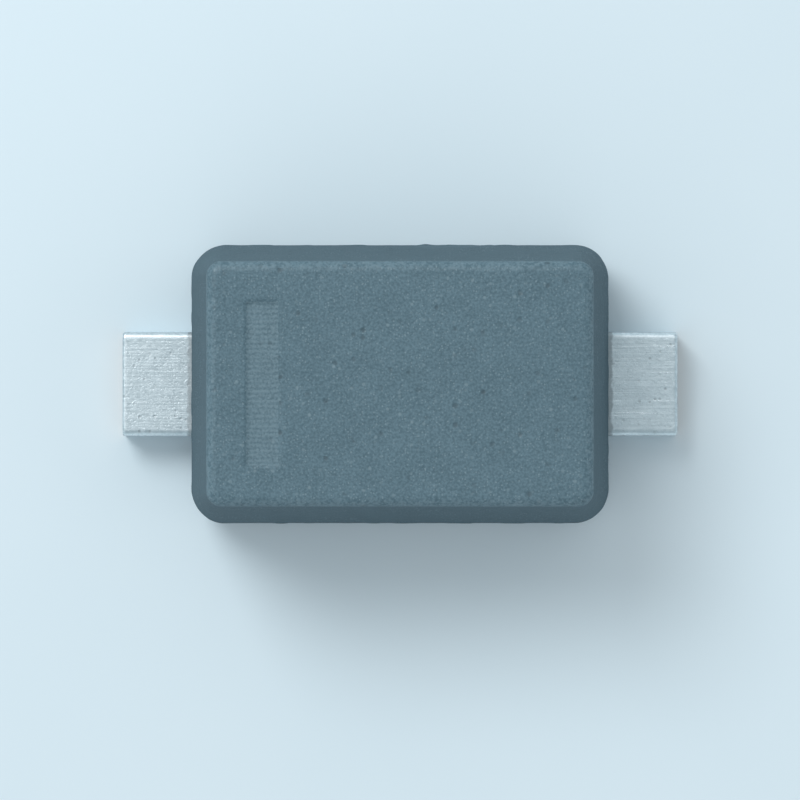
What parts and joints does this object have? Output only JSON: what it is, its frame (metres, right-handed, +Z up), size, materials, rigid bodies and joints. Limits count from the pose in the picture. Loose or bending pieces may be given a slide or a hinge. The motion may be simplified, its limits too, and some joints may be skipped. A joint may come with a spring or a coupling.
{
  "type": "varicap diode",
  "caption": "Tiny surface-mount varicap diode: a grey moulded epoxy body with a flat tinned lead at each end, its chip on a paddle inside and a fine wire to the bond post.",
  "frame": {"origin": "middle of the part, above the middle of the footprint and halfway between the feet's undersides and the top face", "axes": "+X along the leads from the cathode to the anode, +Y across the body, +Z up from the board"},
  "size_m": [0.0016, 0.0008, 0.0006],
  "materials": {
    "epoxy": "matte moulded, filled epoxy",
    "tinned_lead": "matte tin over copper alloy",
    "solder": "dull, grainy",
    "silicon": "polished top, sawn sides",
    "contact_metal": "satin",
    "gold": "smooth drawn wire"
  },
  "bodies": {
    "root": {"moulded_body": "epoxy", "cathode_lead": "tinned_lead", "anode_lead": "tinned_lead", "die_attach": "solder", "varicap_chip": "silicon", "anode_pad": "contact_metal", "bond_wire": "gold"}
  },
  "joints": []
}
